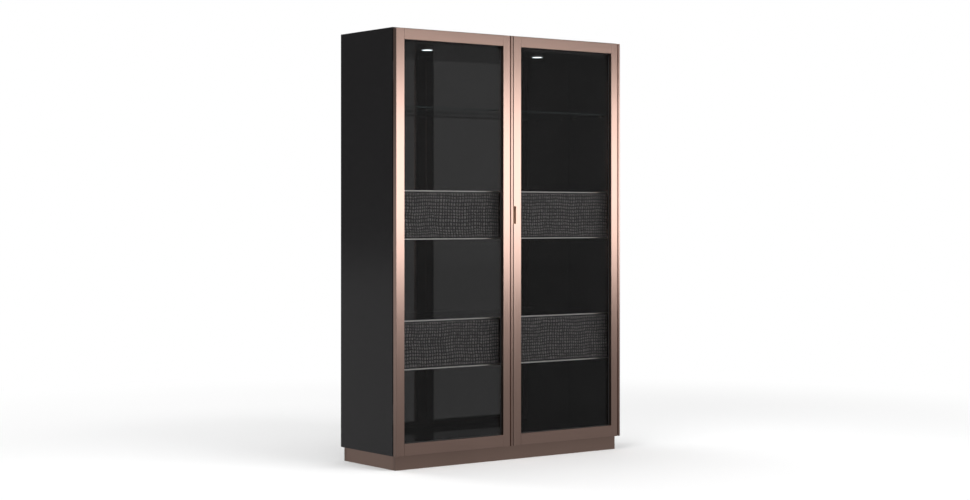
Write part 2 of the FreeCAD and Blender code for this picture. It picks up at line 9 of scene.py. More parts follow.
import logging
import math
import random
from collections.abc import Iterable, Mapping, Sequence
from dataclasses import dataclass, field
from enum import Enum
from functools import cache
from typing import Any, Union

import bmesh
import bpy
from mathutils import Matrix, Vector

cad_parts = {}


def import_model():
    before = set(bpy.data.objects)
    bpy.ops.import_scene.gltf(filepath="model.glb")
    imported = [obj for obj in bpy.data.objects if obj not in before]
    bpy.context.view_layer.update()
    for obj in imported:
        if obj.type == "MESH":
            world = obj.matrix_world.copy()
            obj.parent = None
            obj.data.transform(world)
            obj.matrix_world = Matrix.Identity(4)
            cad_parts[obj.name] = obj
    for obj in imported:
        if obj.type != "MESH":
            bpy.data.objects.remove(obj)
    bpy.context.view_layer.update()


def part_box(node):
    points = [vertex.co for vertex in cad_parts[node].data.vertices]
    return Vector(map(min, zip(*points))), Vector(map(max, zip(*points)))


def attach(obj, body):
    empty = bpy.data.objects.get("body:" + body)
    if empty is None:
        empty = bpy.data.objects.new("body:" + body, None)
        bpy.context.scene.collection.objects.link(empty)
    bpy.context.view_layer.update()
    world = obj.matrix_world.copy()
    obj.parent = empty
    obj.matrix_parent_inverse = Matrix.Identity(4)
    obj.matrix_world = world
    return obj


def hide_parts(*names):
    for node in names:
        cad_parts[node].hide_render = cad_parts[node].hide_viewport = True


log = logging.getLogger("cabinet")

MM = 0.001
SCALE_TOP = "scale_top"
WELD_DISTANCE = 0.01 * MM
BEVEL_STEPS = 3
SHARP_ANGLE = math.radians(40.0)
Colour = tuple[float, float, float]
Cell = tuple[int, int]


class Hand(Enum):
    """Which of the two doors or drawer columns a piece belongs to."""

    LEFT = "left"
    RIGHT = "right"


class Level(Enum):
    """Which of the two drawer cases a piece belongs to."""

    UPPER = "upper"
    LOWER = "lower"


class Grain(Enum):
    """A direction: where brush lines or fibres run, or where a pane looks."""

    ACROSS = (1.0, 0.0, 0.0)
    DEEP = (0.0, 1.0, 0.0)
    UPRIGHT = (0.0, 0.0, 1.0)


# ---------------------------------------------------------------------------------------------------
# Shader expressions


class Sock:
    """An output socket that takes part in Python expressions on numbers."""

    def __init__(self, graph: "Graph", socket: bpy.types.NodeSocket) -> None:
        """Wraps one output socket.

        Args:
            graph: The graph that new Math nodes are added to.
            socket: The output socket.
        """
        self.graph = graph
        self.socket = socket

    def math(self, operation: str, *operands: "Value", clamp: bool = False) -> "Sock":
        """Adds one Math node.

        Args:
            operation: The node's operation, such as MULTIPLY.
            operands: The values or sockets of its inputs, in order.
            clamp: Whether the result stays between 0 and 1.

        Returns:
            The node's result.
        """
        settings = {"operation": operation, "use_clamp": clamp}
        return self.graph.add("ShaderNodeMath", settings, dict(enumerate(operands)))

    def __add__(self, other: "Value") -> "Sock":
        """The sum."""
        return self.math("ADD", self, other)

    def __radd__(self, other: float) -> "Sock":
        """The sum, with the number first."""
        return self.math("ADD", other, self)

    def __sub__(self, other: "Value") -> "Sock":
        """The difference."""
        return self.math("SUBTRACT", self, other)

    def __rsub__(self, other: float) -> "Sock":
        """The difference, with the number first."""
        return self.math("SUBTRACT", other, self)

    def __mul__(self, other: "Value") -> "Sock":
        """The product."""
        return self.math("MULTIPLY", self, other)

    def __rmul__(self, other: float) -> "Sock":
        """The product, with the number first."""
        return self.math("MULTIPLY", other, self)

    def __truediv__(self, other: "Value") -> "Sock":
        """The quotient."""
        return self.math("DIVIDE", self, other)

    def __pow__(self, other: "Value") -> "Sock":
        """This value raised to a power."""
        return self.math("POWER", self, other)

    def __abs__(self) -> "Sock":
        """The size without its sign."""
        return self.math("ABSOLUTE", self)

    def clamped(self) -> "Sock":
        """This value, kept between 0 and 1."""
        return self.math("ADD", self, 0.0, clamp=True)

    def step(self, low: float, high: float) -> "Sock":
        """A smooth rise from 0 at low to 1 at high.

        Args:
            low: Where the rise starts.
            high: Where it ends, which may be below low for a fall.

        Returns:
            The smooth step.
        """
        t = ((self - low) / (high - low)).clamped()
        return t * t * (3.0 - 2.0 * t)


Value = Union[Sock, float]
Input = Union[Sock, float, Sequence[float]]


class Graph:
    """A node tree that is filled by expressions."""

    def __init__(self, tree: bpy.types.NodeTree) -> None:
        """Empties a node tree.

        Args:
            tree: The node tree of a material or a world.
        """
        self.tree = tree
        tree.nodes.clear()

    def add(self, kind: str, settings: Mapping[str, Any] | None = None,
            inputs: Mapping[int | str, Input] | None = None, result: int | str = 0) -> Sock:
        """Adds one node.

        Args:
            kind: The node's type.
            settings: Its settings, which are set first.
            inputs: The values or links of its sockets, by name or number.
            result: The output that is returned, by name or number.

        Returns:
            One of the node's outputs.
        """
        node = self.tree.nodes.new(kind)
        for name, value in (settings or {}).items():
            setattr(node, name, value)
        for key, value in (inputs or {}).items():
            socket = node.inputs[key]
            if isinstance(value, Sock):
                self.tree.links.new(value.socket, socket)
            elif isinstance(value, (int, float)):
                socket.default_value = value
            else:
                spare = len(socket.default_value) - len(value)
                socket.default_value = (*value, *([1.0] * spare))
        return Sock(self, node.outputs[result])

    def mix(self, share: Value, first: Input, second: Input) -> Sock:
        """A mix of two colours.

        Args:
            share: How much of the second colour shows, from 0 to 1.
            first: The colour at 0.
            second: The colour at 1.

        Returns:
            The mixed colour.
        """
        settings = {"data_type": "RGBA"}
        return self.add("ShaderNodeMix", settings, {"Factor": share, 6: first, 7: second}, 2)

    def place(self) -> Sock:
        """The point on the surface, in the frame's axes."""
        return self.add("ShaderNodeTexCoord", result="Object")

    def axes(self, vector: Sock) -> tuple[Sock, Sock, Sock]:
        """Splits a vector.

        Args:
            vector: The vector.

        Returns:
            Its three numbers.
        """
        first = self.add("ShaderNodeSeparateXYZ", inputs={0: vector})
        outputs = first.socket.node.outputs
        return first, Sock(self, outputs[1]), Sock(self, outputs[2])

    def stretched(self, scale: Sequence[float]) -> Sock:
        """The point on the surface, scaled along each axis.

        Args:
            scale: The factor along each axis.

        Returns:
            The scaled point.
        """
        settings = {"operation": "MULTIPLY"}
        return self.add("ShaderNodeVectorMath", settings, {0: self.place(), 1: tuple(scale)})

    def noise(self, scale: Sequence[float] | float, detail: float = 2.0) -> Sock:
        """Soft noise from 0 to 1.

        Args:
            scale: How many grains there are in a metre, for all axes or for each.
            detail: How many finer layers are added.

        Returns:
            The noise.
        """
        scales = (scale,) * 3 if isinstance(scale, (int, float)) else scale
        inputs = {"Vector": self.stretched(scales), "Scale": 1.0, "Detail": detail}
        return self.add("ShaderNodeTexNoise", inputs=inputs)

    def bump(self, height: Sock, depth: float, strength: float = 1.0) -> Sock:
        """A normal that follows a height.

        Args:
            height: The height, from 0 to 1.
            depth: How far 1 stands above 0, in metres.
            strength: How much of it shows.

        Returns:
            The bent normal.
        """
        inputs = {"Height": height, "Distance": depth, "Strength": strength}
        return self.add("ShaderNodeBump", inputs=inputs)

    def finish(self, shader: Sock, output: str = "ShaderNodeOutputMaterial") -> None:
        """Shows a shader as the tree's surface.

        Args:
            shader: The shader.
            output: The type of the tree's output node.
        """
        node = self.tree.nodes.new(output)
        self.tree.links.new(shader.socket, node.inputs["Surface"])


def scaled(colour: Colour, factor: float) -> Colour:
    """A colour made lighter or darker by a factor."""
    return tuple(factor * part for part in colour)


def varied(middle: float, noise: Sock, spread: float) -> Sock:
    """A number that noise moves up and down by a share of itself.

    Args:
        middle: The number in the middle.
        noise: Noise from 0 to 1.
        spread: The largest share that it moves by.

    Returns:
        The moving number.
    """
    return middle * ((1.0 - spread) + 2.0 * spread * noise)


# ---------------------------------------------------------------------------------------------------
# Finishes


@dataclass(frozen=True)
class Finish:
    """A surface finish, made into one material on first use."""

    name: str

    @cache
    def material(self) -> bpy.types.Material:
        """The material of this finish, made once."""
        made = bpy.data.materials.new(f"{self.name}_finish")
        made.use_nodes = True
        graph = Graph(made.node_tree)
        graph.finish(self.shader(graph))
        return made

    def shader(self, graph: Graph) -> Sock:
        """Builds the surface shader of this finish.

        Args:
            graph: The material's empty graph.

        Returns:
            The shader.
        """
        raise NotImplementedError


@dataclass(frozen=True)
class Lacquer(Finish):
    """Polished lacquer over board, with the faint ripple that polishing leaves."""

    colour: Colour
    rough: float = 0.1
    shine: float = 0.5
    ripple: float = 0.02 * MM
    ripple_scale: float = 90.0
    ripple_strength: float = 0.5
    cloud_scale: float = 3.0
    cloud_lift: float = 1.35
    haze_scale: float = 22.0
    haze_spread: float = 0.25

    def shader(self, graph: Graph) -> Sock:
        """Dark base, slightly uneven gloss and a low ripple.

        Args:
            graph: The material's empty graph.

        Returns:
            The shader.
        """
        cloud = graph.noise(self.cloud_scale, detail=3.0)
        haze = graph.noise(self.haze_scale, detail=4.0)
        ripple = graph.noise(self.ripple_scale, detail=1.0)
        inputs = {
            "Base Color": graph.mix(cloud, self.colour, scaled(self.colour, self.cloud_lift)),
            "Roughness": varied(self.rough, haze, self.haze_spread),
            "Specular IOR Level": self.shine,
            "Normal": graph.bump(ripple, self.ripple, self.ripple_strength),
        }
        return graph.add("ShaderNodeBsdfPrincipled", inputs=inputs)


@dataclass(frozen=True)
class BrushedMetal(Finish):
    """Anodised or plated metal with fine brush lines along one direction."""

    colour: Colour
    rough: float = 0.3
    grain: Grain = Grain.UPRIGHT
    line_scale: float = 900.0
    line_depth: float = 0.01 * MM
    line_strength: float = 0.35
    line_share: float = 0.55
    along_scale: float = 5.0
    cloud_scale: float = 4.0
    tone_spread: float = 0.1
    gloss_spread: float = 0.2

    def shader(self, graph: Graph) -> Sock:
        """Metal whose tone, gloss and normal follow the brush lines.

        Args:
            graph: The material's empty graph.

        Returns:
            The shader.
        """
        scale = [self.along_scale if part else self.line_scale for part in self.grain.value]
        lines = graph.noise(scale, detail=2.0)
        cloud = graph.noise(self.cloud_scale, detail=2.0)
        tone = self.line_share * lines + (1.0 - self.line_share) * cloud
        low = scaled(self.colour, 1.0 - self.tone_spread)
        high = scaled(self.colour, 1.0 + self.tone_spread)
        inputs = {
            "Base Color": graph.mix(tone, low, high),
            "Metallic": 1.0,
            "Roughness": varied(self.rough, lines, self.gloss_spread),
            "Normal": graph.bump(lines, self.line_depth, self.line_strength),
        }
        return graph.add("ShaderNodeBsdfPrincipled", inputs=inputs)


@dataclass(frozen=True)
class ScaledLeather(Finish):
    """Embossed leather: glossy scale tops lightened in random patches by a painted sheen, dull creases
    darkened by painted shade, and fine pores.
    """

    colour: Colour
    # The creases' colour, far darker than the tops: painted shade.
    crease: Colour
    rough: float = 0.34
    shine: float = 0.6
    pore_scale: float = 1600.0
    pore_depth: float = 0.05 * MM
    pore_strength: float = 0.6
    wrinkle_scale: float = 260.0
    wrinkle_share: float = 0.6
    rub_and_sheen_scale: float = 30.0
    # How much lighter the patches on the scale tops are: a painted sheen.
    painted_sheen_lift: float = 1.7
    rub_dulling: float = 0.12
    crease_height: float = 0.28
    top_height: float = 0.92
    crease_dulling: float = 0.3

    def shader(self, graph: Graph) -> Sock:
        """Colour and gloss follow the height of the scales, kept in the mesh. The colour falls to
        painted shade in the creases, and the tops carry a painted sheen in random patches.

        Args:
            graph: The material's empty graph.

        Returns:
            The shader.
        """
        height = graph.add("ShaderNodeAttribute", {"attribute_name": SCALE_TOP}, result="Fac")
        rub_and_sheen = graph.noise(self.rub_and_sheen_scale, detail=3.0)
        pores = graph.noise(self.pore_scale, detail=2.0)
        wrinkles = graph.noise(self.wrinkle_scale, detail=3.0)
        # Scale tops lighten in random patches: a painted sheen in the base colour.
        top = graph.mix(rub_and_sheen, self.colour, scaled(self.colour, self.painted_sheen_lift))
        on_top = height.step(self.crease_height, self.top_height)
        dulled = self.rough + self.crease_dulling * (1.0 - height.clamped())
        relief = self.wrinkle_share * wrinkles + (1.0 - self.wrinkle_share) * pores
        inputs = {
            # Painted shade: the base colour darkens from the scale tops down into the creases.
            "Base Color": graph.mix(on_top, self.crease, top),
            "Roughness": dulled + self.rub_dulling * (rub_and_sheen - 0.5),
            "Specular IOR Level": self.shine,
            "Normal": graph.bump(relief, self.pore_depth, self.pore_strength),
        }
        return graph.add("ShaderNodeBsdfPrincipled", inputs=inputs)


@dataclass(frozen=True)
class Pane(Finish):
    """Thin clear or smoked glass that shows what is behind it, with a denser cut edge."""

    tint: Colour
    body: float
    edge: float
    facing: Grain = Grain.DEEP
    rough: float = 0.02
    shine: float = 0.5
    edge_lift: float = 3.0
    flat_from: float = 0.4
    flat_to: float = 0.6
    smear_scale: tuple[float, float, float] = (9.0, 9.0, 3.0)
    smear_spread: float = 0.4

    def shader(self, graph: Graph) -> Sock:
        """Smoked body, solid edge faces, and faint smears in the gloss.

        Args:
            graph: The material's empty graph.

        Returns:
            The shader.
        """
        normal = graph.add("ShaderNodeTexCoord", result="Normal")
        straight = graph.axes(normal)[self.facing.value.index(1.0)]
        is_edge = 1.0 - abs(straight).step(self.flat_from, self.flat_to)
        smear = graph.noise(self.smear_scale, detail=3.0)
        inputs = {
            "Base Color": graph.mix(is_edge, self.tint, scaled(self.tint, self.edge_lift)),
            "Roughness": varied(self.rough, smear, self.smear_spread),
            "Specular IOR Level": self.shine,
            "Alpha": self.body + is_edge * (self.edge - self.body),
        }
        return graph.add("ShaderNodeBsdfPrincipled", inputs=inputs)


@dataclass(frozen=True)
class StainedWood(Finish):
    """Dark stained wood or board, with fibres along one direction."""

    colour: Colour
    rough: float = 0.5
    grain: Grain = Grain.ACROSS
    fibre_scale: float = 160.0
    fibre_depth: float = 0.08 * MM
    fibre_strength: float = 0.5
    fibre_share: float = 0.6
    along_scale: float = 4.0
    band_scale: float = 0.12
    stain_from: float = 0.35
    stain_to: float = 0.7
    stain_lift: float = 2.1
    gloss_spread: float = 0.15

    def shader(self, graph: Graph) -> Sock:
        """Streaks of stain and open fibres.

        Args:
            graph: The material's empty graph.

        Returns:
            The shader.
        """
        scale = [self.along_scale if part else self.fibre_scale for part in self.grain.value]
        fibres = graph.noise(scale, detail=5.0)
        bands = graph.noise([part * self.band_scale for part in scale], detail=2.0)
        stain = self.fibre_share * fibres + (1.0 - self.fibre_share) * bands
        streaks = stain.step(self.stain_from, self.stain_to)
        inputs = {
            "Base Color": graph.mix(streaks, self.colour, scaled(self.colour, self.stain_lift)),
            "Roughness": varied(self.rough, fibres, self.gloss_spread),
            "Normal": graph.bump(fibres, self.fibre_depth, self.fibre_strength),
        }
        return graph.add("ShaderNodeBsdfPrincipled", inputs=inputs)


@dataclass(frozen=True)
class Moulded(Finish):
    """Moulded plastic or rubber with a fine spark texture."""

    colour: Colour
    rough: float = 0.6
    texture_scale: float = 1400.0
    texture_depth: float = 0.05 * MM
    texture_strength: float = 0.5
    patch_scale: float = 25.0
    patch_lift: float = 1.3
    patch_spread: float = 0.1

    def shader(self, graph: Graph) -> Sock:
        """Even colour under a fine texture, slightly polished in patches.

        Args:
            graph: The material's empty graph.

        Returns:
            The shader.
        """
        spark = graph.noise(self.texture_scale, detail=1.0)
        patch = graph.noise(self.patch_scale, detail=2.0)
        inputs = {
            "Base Color": graph.mix(patch, self.colour, scaled(self.colour, self.patch_lift)),
            "Roughness": varied(self.rough, patch, self.patch_spread),
            "Normal": graph.bump(spark, self.texture_depth, self.texture_strength),
        }
        return graph.add("ShaderNodeBsdfPrincipled", inputs=inputs)


@dataclass(frozen=True)
class LitLens(Finish):
    """Frosted lens with a bright middle, over a small light source."""

    colour: Colour
    strength: float
    spacing: float
    depth: float
    radius: float
    rough: float = 0.25
    core_size: float = 0.2
    rim_share: float = 0.25
    rim_colour: Colour = (0.25, 0.3, 0.32)
    frost_scale: float = 700.0
    frost_rough: float = 0.15
    frost_low: Colour = (0.8, 0.82, 0.84)
    frost_high: Colour = (0.9, 0.9, 0.9)

    def shader(self, graph: Graph) -> Sock:
        """Light that falls off from each lens's middle to its rim.

        Args:
            graph: The material's empty graph.

        Returns:
            The shader.
        """
        x, y, _ = graph.axes(graph.place())
        off_x = abs(x) - self.spacing / 2.0
        off_y = y - self.depth
        reach = (off_x * off_x + off_y * off_y) ** 0.5
        core = 1.0 - (reach / self.radius).step(self.core_size, 1.0)
        frost = graph.noise(self.frost_scale, detail=2.0)
        bright = self.rim_share + (1.0 - self.rim_share) * core
        glow = graph.mix(bright, self.rim_colour, self.colour)
        inputs = {
            "Base Color": graph.mix(frost, self.frost_low, self.frost_high),
            "Roughness": self.rough + self.frost_rough * frost,
            "Emission Color": glow,
            "Emission Strength": self.strength,
        }
        return graph.add("ShaderNodeBsdfPrincipled", inputs=inputs)


BLACK_LACQUER = Lacquer("black_lacquer", (0.0085, 0.008, 0.0085), rough=0.14, shine=0.35)
GLOSS_LINING = Lacquer("gloss_lining", (0.0065, 0.006, 0.006), rough=0.035, shine=1.0,
                       ripple=0.004 * MM)
BRONZE_UPRIGHT = BrushedMetal("bronze_upright", (0.262, 0.179, 0.15), rough=0.34)
BRONZE_ACROSS = BrushedMetal("bronze_across", (0.262, 0.179, 0.15), rough=0.34, grain=Grain.ACROSS)
BRONZE_PLINTH = BrushedMetal("bronze_plinth", (0.29, 0.2, 0.166), rough=0.38, grain=Grain.ACROSS)
PULL_METAL = BrushedMetal("pull_metal", (0.3, 0.205, 0.155), rough=0.46)
CHAMPAGNE = BrushedMetal("champagne_trim", (0.93, 0.9, 0.87), rough=0.32, grain=Grain.ACROSS)
STEEL = BrushedMetal("hardware_steel", (0.52, 0.51, 0.5), rough=0.32, grain=Grain.DEEP)
DARK_STEEL = BrushedMetal("darkened_steel", (0.11, 0.1, 0.095), rough=0.4)
LAMP_STEEL = BrushedMetal("lamp_steel", (0.6, 0.6, 0.6), rough=0.22, grain=Grain.ACROSS)
# The second colour is the creases' painted shade.
LEATHER = ScaledLeather("embossed_leather", (0.08, 0.073, 0.073), (0.0015, 0.0015, 0.0015))
DOOR_GLASS = Pane("door_glass", (0.012, 0.012, 0.012), body=0.13, edge=0.75, shine=0.9)
SHELF_GLASS = Pane("shelf_glass", (0.003, 0.005, 0.005), body=0.16, edge=0.9,
                   facing=Grain.UPRIGHT, rough=0.05, shine=0.35)
DRAWER_WOOD = StainedWood("drawer_wood", (0.02, 0.0155, 0.013), grain=Grain.DEEP)
REAR_BOARD = StainedWood("rear_board", (0.03, 0.027, 0.025), rough=0.62, grain=Grain.UPRIGHT)
RUBBER = Moulded("black_rubber", (0.012, 0.012, 0.012), rough=0.72)
PLASTIC = Moulded("black_plastic", (0.03, 0.03, 0.03))


def dress(names: Iterable[str], finish: Finish) -> None:
    """Gives CAD nodes a finish.

    Args:
        names: The nodes' names.
        finish: The finish that they get.
    """
    for name in names:
        node = bpy.data.objects[name]
        for slot in node.material_slots:
            slot.material = finish.material()
        log.info("%s: %s", name, finish.name)


def soften(names: Iterable[str], radius: float) -> None:
    """Rounds the sharp edges of CAD nodes as a sanded or polished board has them.

    Args:
        names: The nodes' names.
        radius: How wide the rounding is.
    """
    for name in names:
        node = bpy.data.objects[name]
        weld = node.modifiers.new("weld", "WELD")
        weld.merge_threshold = WELD_DISTANCE
        bevel = node.modifiers.new("rounded_edges", "BEVEL")
        bevel.width = radius
        bevel.segments = BEVEL_STEPS
        bevel.limit_method = "ANGLE"
        bevel.angle_limit = SHARP_ANGLE
        bevel.harden_normals = True


def new_piece(name: str, mesh: bmesh.types.BMesh, finish: Finish, body: str,
              smooth: bool = True) -> bpy.types.Object:
    """Turns a finished mesh into a piece that rides on a body.

    Args:
        name: The piece's name.
        mesh: The mesh, which is freed.
        finish: The piece's finish.
        body: The CAD body that it moves with.
        smooth: Whether its faces are shaded smooth.

    Returns:
        The new piece.
    """
    bmesh.ops.recalc_face_normals(mesh, faces=mesh.faces)
    for face in mesh.faces:
        face.smooth = smooth
    data = bpy.data.meshes.new(name)
    mesh.to_mesh(data)
    mesh.free()
    data.materials.append(finish.material())
    piece = bpy.data.objects.new(name, data)
    bpy.context.scene.collection.objects.link(piece)
    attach(piece, body)
    log.info("%s: %d faces on %s", name, len(data.polygons), body)
    return piece


# ---------------------------------------------------------------------------------------------------
# Small pieces


@dataclass
class ScrewHeads:
    """Low domed screw heads with a cross recess, gathered into one piece."""

    radius: float = 3.2 * MM
    dome: float = 0.9 * MM
    dome_fall: float = 0.9
    recess: float = 0.7 * MM
    slot_reach: float = 0.5
    slot_core: float = 0.2
    spokes: int = 24
    rings: tuple[float, ...] = (0.16, 0.34, 0.56, 0.8, 0.95, 1.0)
    mesh: bmesh.types.BMesh = field(default_factory=bmesh.new)

    def add(self, seat: Vector, out: Vector, side: Vector) -> None:
        """Adds one head.

        Args:
            seat: The middle of the head's underside, on the surface that it is screwed into.
            out: The direction that the head faces.
            side: A direction in that surface.
        """
        other = out.cross(side)
        quarter = self.spokes // 4
        middle = self.mesh.verts.new(seat + out * (self.dome - self.recess))
        previous: list[bmesh.types.BMVert] = []
        for reach in self.rings:
            ring = []
            for spoke in range(self.spokes):
                angle = 2.0 * math.pi * spoke / self.spokes
                height = self.dome * math.sqrt(1.0 - self.dome_fall * reach * reach)
                in_slot = spoke % quarter in (0, 1, quarter - 1) and reach < self.slot_reach
                if in_slot and (reach < self.slot_core or spoke % quarter == 0):
                    height -= self.recess
                flat = side * math.cos(angle) + other * math.sin(angle)
                ring.append(self.mesh.verts.new(seat + flat * (self.radius * reach) + out * height))
            self._join(previous, ring, middle)
            previous = ring
        foot = [self.mesh.verts.new(v.co - out * (v.co - seat).dot(out)) for v in previous]
        self._join(previous, foot, middle)
        self.mesh.faces.new(foot)

    def _join(self, inner: list[bmesh.types.BMVert], outer: list[bmesh.types.BMVert],
              middle: bmesh.types.BMVert) -> None:
        """Closes the band between two rings, or the fan inside the first one.

        Args:
            inner: The inner ring, empty for the first one.
            outer: The outer ring.
            middle: The point in the middle of the head.
        """
        for index in range(self.spokes):
            after = (index + 1) % self.spokes
            if inner:
                self.mesh.faces.new((inner[index], inner[after], outer[after], outer[index]))
            else:
                self.mesh.faces.new((middle, outer[index], outer[after]))

    def finish(self, name: str, body: str) -> bpy.types.Object:
        """Makes the piece.

        Args:
            name: The piece's name.
            body: The body that the screws move with.

        Returns:
            The piece.
        """
        return new_piece(name, self.mesh, STEEL, body)


@dataclass
class GlazingBead:
    """The black rubber bead that seals a pane against its frame, all round the opening."""

    hand: Hand
    size: float = 3.0 * MM
    arc_steps: int = 6
    ease: float = 0.05 * MM

    def build(self) -> bpy.types.Object:
        """Builds the bead in the corner between the pane and the frame.

        Returns:
            The piece.
        """
        prefix = f"{self.hand.value}_door"
        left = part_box(f"{prefix}_left_stile")[1].x + self.ease
        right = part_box(f"{prefix}_right_stile")[0].x - self.ease
        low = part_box(f"{prefix}_bottom_rail")[1].z + self.ease
        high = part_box(f"{prefix}_top_rail")[0].z - self.ease
        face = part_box(f"{prefix}_glass")[0].y - self.ease
        section = [(0.0, 0.0), (self.size, 0.0)]
        for step in range(1, self.arc_steps + 1):
            angle = 0.5 * math.pi * step / self.arc_steps
            section.append((self.size * math.cos(angle), self.size * math.sin(angle)))
        mesh = bmesh.new()
        rings = []
        for inward, forward in section:
            corners = ((left + inward, low + inward), (right - inward, low + inward),
                       (right - inward, high - inward), (left + inward, high - inward))
            rings.append([mesh.verts.new((x, face - forward, z)) for x, z in corners])
        for index, ring in enumerate(rings):
            after = rings[(index + 1) % len(rings)]
            for side in range(4):
                turn = (side + 1) % 4
                mesh.faces.new((ring[side], ring[turn], after[turn], after[side]))
        return new_piece(f"{prefix}_glazing_bead", mesh, RUBBER, prefix, False)


@dataclass(frozen=True)
class Wander:
    """How far the creases of one direction stray, and the waves per metre that they follow."""

    bend: float
    jitter: float
    long_wave: float
    short_wave: float
    cross_wave: float
    short_share: float = 0.6

    def shift(self, along: float, across: float, starts: Sequence[float],
              draw: random.Random) -> float:
        """How far one crossing strays, as a share of the leather's sway.

        Args:
            along: Its place along the crease.
            across: Its place across it.
            starts: Where the long and the short wave start.
            draw: The front's own random numbers.

        Returns:
            The share.
        """
        bend = math.sin(along * self.long_wave + starts[0])
        short = math.sin(along * self.short_wave + across * self.cross_wave + starts[1])
        return self.bend * (bend + self.short_share * short) + draw.uniform(-1.0, 1.0) * self.jitter


@dataclass
class EmbossedFront:
    """A drawer front wrapped in leather that is embossed with rows of pillowed scales."""

    hand: Hand
    level: Level
    scale_wide: float = 14.0 * MM
    scale_tall: float = 14.8 * MM
    relief: float = 2.4 * MM
    wrap: float = 2.5 * MM
    wrap_steps: int = 4
    spread: float = 0.22
    sway: float = 0.9
    upright: Wander = Wander(0.22, 0.108, long_wave=31.0, short_wave=63.0, cross_wave=9.0)
    level_row: Wander = Wander(0.15, 0.132, long_wave=23.0, short_wave=51.0, cross_wave=17.0)
    ring_sizes: tuple[tuple[float, float, float], ...] = (
        (0.7, 0.73, 0.34), (0.57, 0.63, 0.82), (0.32, 0.38, 0.97))
    lowest_crown: float = 0.62
    crease_middle: float = 0.12
    # The border and the wrapped edges get low heights in the colour attribute only, so they take the
    # creases' painted shade.
    border_shade: float = 0.2
    wrap_shade: float = 0.25
    node: str = field(init=False)
    low: Vector = field(init=False)
    high: Vector = field(init=False)
    draw: random.Random = field(init=False)
    mesh: bmesh.types.BMesh = field(init=False)
    top: Any = field(init=False)
    corner: dict[Cell, bmesh.types.BMVert] = field(init=False, default_factory=dict)
    middles: dict[tuple[int, ...], bmesh.types.BMVert] = field(init=False, default_factory=dict)

    def build(self) -> bpy.types.Object:
        """Builds the wrapped front in place of the plain CAD board.

        Returns:
            The piece.
        """
        self.node = f"{self.hand.value}_{self.level.value}_drawer_front"
        self.low, self.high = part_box(self.node)
        self.draw = random.Random(self.node)
        self.mesh = bmesh.new()
        self.top = self.mesh.verts.layers.float.new(SCALE_TOP)
        columns = self._spread(self.low.x + self.wrap, self.high.x - self.wrap, self.scale_wide)
        rows = self._spread(self.low.z + self.wrap, self.high.z - self.wrap, self.scale_tall)
        self._lay_scales(columns, rows)
        self._close_back()
        body = f"{self.hand.value}_{self.level.value}_drawer"
        piece = new_piece(f"{self.node}_leather", self.mesh, LEATHER, body)
        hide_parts(self.node)
        return piece

    def _spread(self, start: float, end: float, size: float) -> list[float]:
        """Uneven marks between two ends.

        Args:
            start: The first mark.
            end: The last mark.
            size: About how far apart they are.

        Returns:
            The marks.
        """
        count = round((end - start) / size)
        widths = [self.draw.uniform(1.0 - self.spread, 1.0 + self.spread) for _ in range(count)]
        total = sum(widths)
        marks = [start]
        for width in widths:
            marks.append(marks[-1] + width * (end - start) / total)
        return marks

    def _lay_scales(self, columns: list[float], rows: list[float]) -> None:
        """Lays one pillowed scale in each cell of the wandering grid.

        Args:
            columns: The creases' places along X.
            rows: Their places along Z.
        """
        starts = [self.draw.uniform(0.0, 2.0 * math.pi) for _ in range(4)]
        sway = self.sway * self.scale_wide
        for i, column in enumerate(columns):
            for j, row in enumerate(rows):
                x, z = column, row
                if 0 < i < len(columns) - 1:
                    x += sway * self.upright.shift(z, x, starts[:2], self.draw)
                if 0 < j < len(rows) - 1:
                    z += sway * self.level_row.shift(x, z, starts[2:], self.draw)
                self.corner[i, j] = self._point(x, z, 0.0)
        for i in range(len(columns) - 1):
            for j in range(len(rows) - 1):
                self._lay_scale(i, j)

    def _point(self, x: float, z: float, height: float) -> bmesh.types.BMVert:
        """Adds a point of the leather.

        Args:
            x: Its place along X.
            z: Its place along Z.
            height: Its height, from 0 in a crease to 1 on top of a scale.

        Returns:
            The point.
        """
        vert = self.mesh.verts.new((x, self.low.y + self.relief * (1.0 - height), z))
        vert[self.top] = height
        return vert

    def _middle(self, a: Cell, b: Cell) -> bmesh.types.BMVert:
        """The middle of the crease between two crossings, shared by both its scales.

        Args:
            a: One crossing.
            b: The next one.

        Returns:
            The point.
        """
        key = (*min(a, b), *max(a, b))
        if key not in self.middles:
            co = (self.corner[a].co + self.corner[b].co) / 2.0
            self.middles[key] = self._point(co.x, co.z, self.crease_middle)
        return self.middles[key]

    def _lay_scale(self, i: int, j: int) -> None:
        """Lays one scale: its outline, its rings and its crown.

        Args:
            i: Its column.
            j: Its row.
        """
        cells = ((i, j), (i + 1, j), (i + 1, j + 1), (i, j + 1))
        outline = []
        for index, cell in enumerate(cells):
            outline += [self.corner[cell], self._middle(cell, cells[(index + 1) % 4])]
        centre = sum((v.co for v in outline[::2]), Vector()) / 4.0
        lift = self.draw.uniform(self.lowest_crown, 1.0)
        previous = outline
        for corner_size, middle_size, height in self.ring_sizes:
            ring = []
            for index, vert in enumerate(outline):
                size = middle_size if index % 2 else corner_size
                spot = centre.lerp(vert.co, size)
                ring.append(self._point(spot.x, spot.z, height * lift))
            self._join(previous, ring)
            previous = ring
        crown = self._point(centre.x, centre.z, lift)
        for index in range(len(previous)):
            self.mesh.faces.new((previous[index], previous[(index + 1) % 8], crown))

    def _join(self, outer: list[bmesh.types.BMVert], inner: list[bmesh.types.BMVert]) -> None:
        """Closes the band between two rings of eight points.

        Args:
            outer: The outer ring.
            inner: The inner ring.
        """
        for index in range(8):
            after = (index + 1) % 8
            self.mesh.faces.new((outer[index], outer[after], inner[after], inner[index]))

